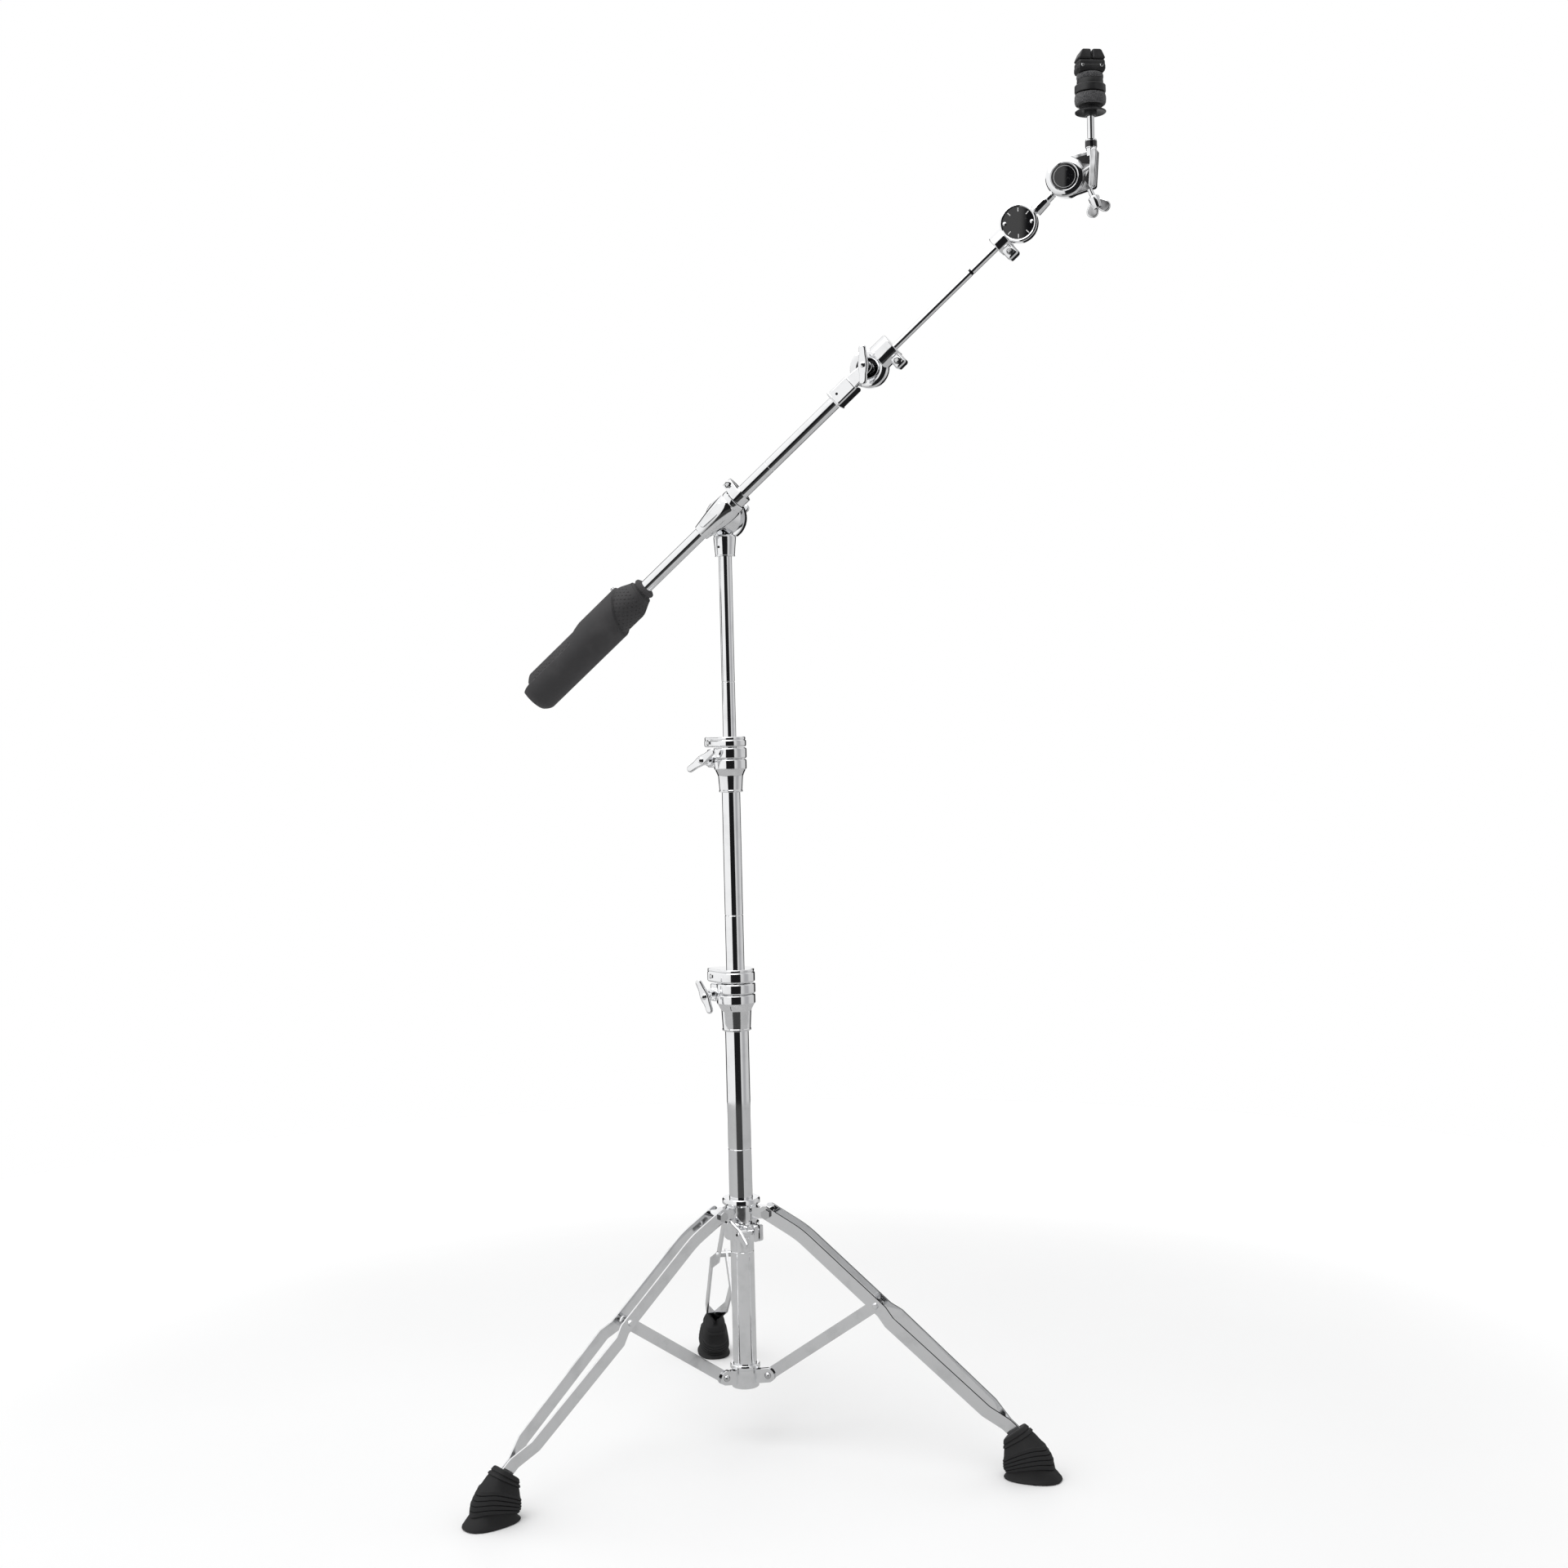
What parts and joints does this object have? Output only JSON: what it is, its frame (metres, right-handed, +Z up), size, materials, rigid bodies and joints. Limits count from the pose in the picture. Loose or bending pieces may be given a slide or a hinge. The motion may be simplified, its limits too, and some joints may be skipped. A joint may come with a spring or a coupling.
{
  "type": "cymbal boom stand",
  "caption": "Chrome double-braced cymbal boom stand with rubber feet, counterweighted boom, hinge joints and a felt stack with quick-release nut",
  "frame": {"origin": "floor level, under the middle of the overall box", "axes": "Z up, the mast stands along Z, the boom points towards +X and 20 degrees towards -Y"},
  "size_m": [0.7502, 0.627, 1.6128],
  "materials": {
    "chrome": "polished plating",
    "steel": "plain steel",
    "rubber": "moulded, matte",
    "nylon": "moulded bushing",
    "black_plastic": "moulded, slight sheen",
    "felt": "pressed felt"
  },
  "bodies": {
    "base": {"base_tube": "chrome", "stay_collar": "chrome", "collar_rivet_1": "chrome", "collar_rivet_2": "chrome", "collar_rivet_3": "chrome", "lower_clamp": "chrome", "lower_memory_ring": "chrome"},
    "leg_collar": {"leg_collar": "chrome", "leg_1_pivot_bolt": "chrome", "leg_2_pivot_bolt": "chrome", "leg_3_pivot_bolt": "chrome"},
    "leg_collar_wing": {"leg_collar_wing_bolt": "chrome"},
    "lower_wing": {"lower_wing_bolt": "chrome"},
    "leg_1": {"leg_1_left_bar": "chrome", "leg_1_right_bar": "chrome", "foot_1": "rubber"},
    "stay_1": {"stay_1": "chrome", "stay_1_spacer": "steel"},
    "leg_2": {"leg_2_left_bar": "chrome", "leg_2_right_bar": "chrome", "foot_2": "rubber"},
    "stay_2": {"stay_2": "chrome", "stay_2_spacer": "steel"},
    "leg_3": {"leg_3_left_bar": "chrome", "leg_3_right_bar": "chrome", "foot_3": "rubber"},
    "stay_3": {"stay_3": "chrome", "stay_3_spacer": "steel"},
    "lower_swivel": {"lower_bushing": "nylon"},
    "middle_section": {"middle_tube": "chrome", "upper_clamp": "chrome", "upper_memory_ring": "chrome"},
    "upper_wing": {"upper_wing_bolt": "chrome"},
    "upper_swivel": {"upper_bushing": "nylon"},
    "upper_section": {"upper_tube": "chrome", "tilter_base": "chrome"},
    "boom_sleeve": {"boom_sleeve": "chrome"},
    "tilter_wing": {"tilter_wing_bolt": "chrome"},
    "boom_swivel": {"boom_memory_ring": "chrome"},
    "boom": {"boom_tube": "chrome", "knuckle_arm": "chrome"},
    "counterweight": {"counterweight_core": "steel", "counterweight_cover": "rubber"},
    "counterweight_screw": {"counterweight_screw": "steel"},
    "knuckle": {"knuckle_ring": "chrome"},
    "knuckle_wing": {"knuckle_wing_bolt": "chrome"},
    "rod": {"boom_rod": "chrome", "angle_base": "chrome"},
    "angle": {"angle_stem": "chrome"},
    "head_swivel": {"head_disc": "chrome"},
    "head": {"head_arm": "chrome", "cymbal_rod": "chrome", "cone_washer": "black_plastic", "lower_felt": "felt", "cymbal_sleeve": "black_plastic", "upper_felt": "felt"},
    "head_wing": {"head_wing_bolt": "chrome"},
    "quick_nut": {"quick_nut": "black_plastic"},
    "lever_left": {"release_lever_left": "black_plastic"},
    "lever_right": {"release_lever_right": "black_plastic"}
  },
  "joints": [
    {"name": "leg_collar_slide", "type": "slide", "parent": "base", "child": "leg_collar", "axis": [0, 0, 1], "range_m": [0, 0.1371]},
    {"name": "leg_collar_wing_turn", "type": "hinge", "parent": "leg_collar", "child": "leg_collar_wing", "pos_m": [-0.06337, -0.10972, 0.2665], "axis": [0.7986, 0.6018, 0], "continuous": true},
    {"name": "lower_wing_turn", "type": "hinge", "parent": "base", "child": "lower_wing", "pos_m": [-0.09789, -0.0876, 0.55007], "axis": [0.4226, 0.9063, 0], "continuous": true},
    {"name": "leg_1_fold", "type": "hinge", "parent": "leg_collar", "child": "leg_1", "pos_m": [-0.0265, -0.08637, 0.287], "axis": [0.3907, 0.9205, 0], "range_deg": [0, 44]},
    {"name": "stay_1_fold", "type": "hinge", "parent": "base", "child": "stay_1", "pos_m": [-0.03202, -0.08402, 0.088], "axis": [-0.3907, -0.9205, 0], "range_deg": [0, 43.7]},
    {"name": "leg_2_fold", "type": "hinge", "parent": "leg_collar", "child": "leg_2", "pos_m": [-0.06507, -0.03519, 0.287], "axis": [-0.9925, -0.1219, 0], "range_deg": [0, 44]},
    {"name": "stay_2_fold", "type": "hinge", "parent": "base", "child": "stay_2", "pos_m": [-0.06434, -0.04114, 0.088], "axis": [0.9925, 0.1219, 0], "range_deg": [0, 43.7]},
    {"name": "leg_3_fold", "type": "hinge", "parent": "leg_collar", "child": "leg_3", "pos_m": [-0.09011, -0.09418, 0.287], "axis": [0.6018, -0.7986, 0], "range_deg": [0, 44]},
    {"name": "stay_3_fold", "type": "hinge", "parent": "base", "child": "stay_3", "pos_m": [-0.08532, -0.09057, 0.088], "axis": [-0.6018, 0.7986, 0], "range_deg": [0, 43.7]},
    {"name": "middle_turn", "type": "hinge", "parent": "base", "child": "lower_swivel", "pos_m": [-0.06056, -0.07191, 0.548], "axis": [0, 0, 1], "continuous": true},
    {"name": "middle_slide", "type": "slide", "parent": "lower_swivel", "child": "middle_section", "axis": [0, 0, 1], "range_m": [-0.2, 0.1]},
    {"name": "upper_wing_turn", "type": "hinge", "parent": "middle_section", "child": "upper_wing", "pos_m": [-0.09453, -0.08917, 0.83353], "axis": [0.4226, 0.9063, 0], "continuous": true},
    {"name": "upper_turn", "type": "hinge", "parent": "middle_section", "child": "upper_swivel", "pos_m": [-0.06056, -0.07191, 0.83], "axis": [0, 0, 1], "continuous": true},
    {"name": "upper_slide", "type": "slide", "parent": "upper_swivel", "child": "upper_section", "axis": [0, 0, 1], "range_m": [-0.2, 0.1]},
    {"name": "tilter_hinge", "type": "hinge", "parent": "upper_section", "child": "boom_sleeve", "pos_m": [-0.06774, -0.09164, 1.1233], "axis": [-0.342, -0.9397, 0], "range_deg": [-40, 25]},
    {"name": "tilter_wing_turn", "type": "hinge", "parent": "boom_sleeve", "child": "tilter_wing", "pos_m": [-0.05064, -0.04466, 1.1233], "axis": [-0.342, -0.9397, 0], "continuous": true},
    {"name": "boom_turn", "type": "hinge", "parent": "boom_sleeve", "child": "boom_swivel", "pos_m": [-0.06774, -0.09164, 1.1233], "axis": [0.7198, -0.262, 0.6428], "continuous": true},
    {"name": "boom_slide", "type": "slide", "parent": "boom_swivel", "child": "boom", "axis": [0.7198, -0.262, 0.6428], "range_m": [-0.14, 0.03]},
    {"name": "counterweight_slide", "type": "slide", "parent": "boom", "child": "counterweight", "axis": [0.7198, -0.262, 0.6428], "range_m": [-0.02, 0.03]},
    {"name": "counterweight_screw_turn", "type": "hinge", "parent": "counterweight", "child": "counterweight_screw", "pos_m": [-0.18148, -0.05025, 1.02174], "axis": [-0.604, 0.2199, 0.766], "continuous": true},
    {"name": "knuckle_hinge", "type": "hinge", "parent": "boom", "child": "knuckle", "pos_m": [0.1115, -0.15688, 1.28335], "axis": [-0.342, -0.9397, 0], "range_deg": [-60, 75]},
    {"name": "knuckle_wing_turn", "type": "hinge", "parent": "boom", "child": "knuckle_wing", "pos_m": [0.10278, -0.18085, 1.28335], "axis": [0.342, 0.9397, 0], "continuous": true},
    {"name": "rod_turn", "type": "hinge", "parent": "knuckle", "child": "rod", "pos_m": [0.11313, -0.15748, 1.28129], "axis": [0.7198, -0.262, 0.6428], "continuous": true},
    {"name": "angle_hinge", "type": "hinge", "parent": "rod", "child": "angle", "pos_m": [0.27999, -0.21821, 1.43028], "axis": [-0.342, -0.9397, 0], "range_deg": [-80, 80]},
    {"name": "head_turn", "type": "hinge", "parent": "angle", "child": "head_swivel", "pos_m": [0.31539, -0.22577, 1.46037], "axis": [0.7198, -0.262, 0.6428], "continuous": true},
    {"name": "head_tilt", "type": "hinge", "parent": "head_swivel", "child": "head", "pos_m": [0.33031, -0.23652, 1.47521], "axis": [-0.342, -0.9397, 0], "range_deg": [-45, 80]},
    {"name": "head_wing_turn", "type": "hinge", "parent": "head", "child": "head_wing", "pos_m": [0.36081, -0.25422, 1.44074], "axis": [-0.3611, 0.1314, 0.9232], "continuous": true},
    {"name": "quick_nut_lift", "type": "slide", "parent": "head", "child": "quick_nut", "axis": [0, 0, 1], "range_m": [0, 0.03]},
    {"name": "lever_left_squeeze", "type": "hinge", "parent": "quick_nut", "child": "lever_left", "pos_m": [0.34526, -0.25329, 1.59211], "axis": [-0.0872, 0.9962, 0], "range_deg": [0, 4]},
    {"name": "lever_right_squeeze", "type": "hinge", "parent": "quick_nut", "child": "lever_right", "pos_m": [0.36618, -0.25146, 1.59211], "axis": [0.0872, -0.9962, 0], "range_deg": [0, 4]}
  ],
  "couplings": [
    {"joint": "leg_1_fold", "follows": "leg_collar_slide", "rad_per_m": 5.6013},
    {"joint": "stay_1_fold", "follows": "leg_collar_slide", "rad_per_m": 5.5626},
    {"joint": "leg_2_fold", "follows": "leg_collar_slide", "rad_per_m": 5.6013},
    {"joint": "stay_2_fold", "follows": "leg_collar_slide", "rad_per_m": 5.5626},
    {"joint": "leg_3_fold", "follows": "leg_collar_slide", "rad_per_m": 5.6013},
    {"joint": "stay_3_fold", "follows": "leg_collar_slide", "rad_per_m": 5.5626}
  ]
}
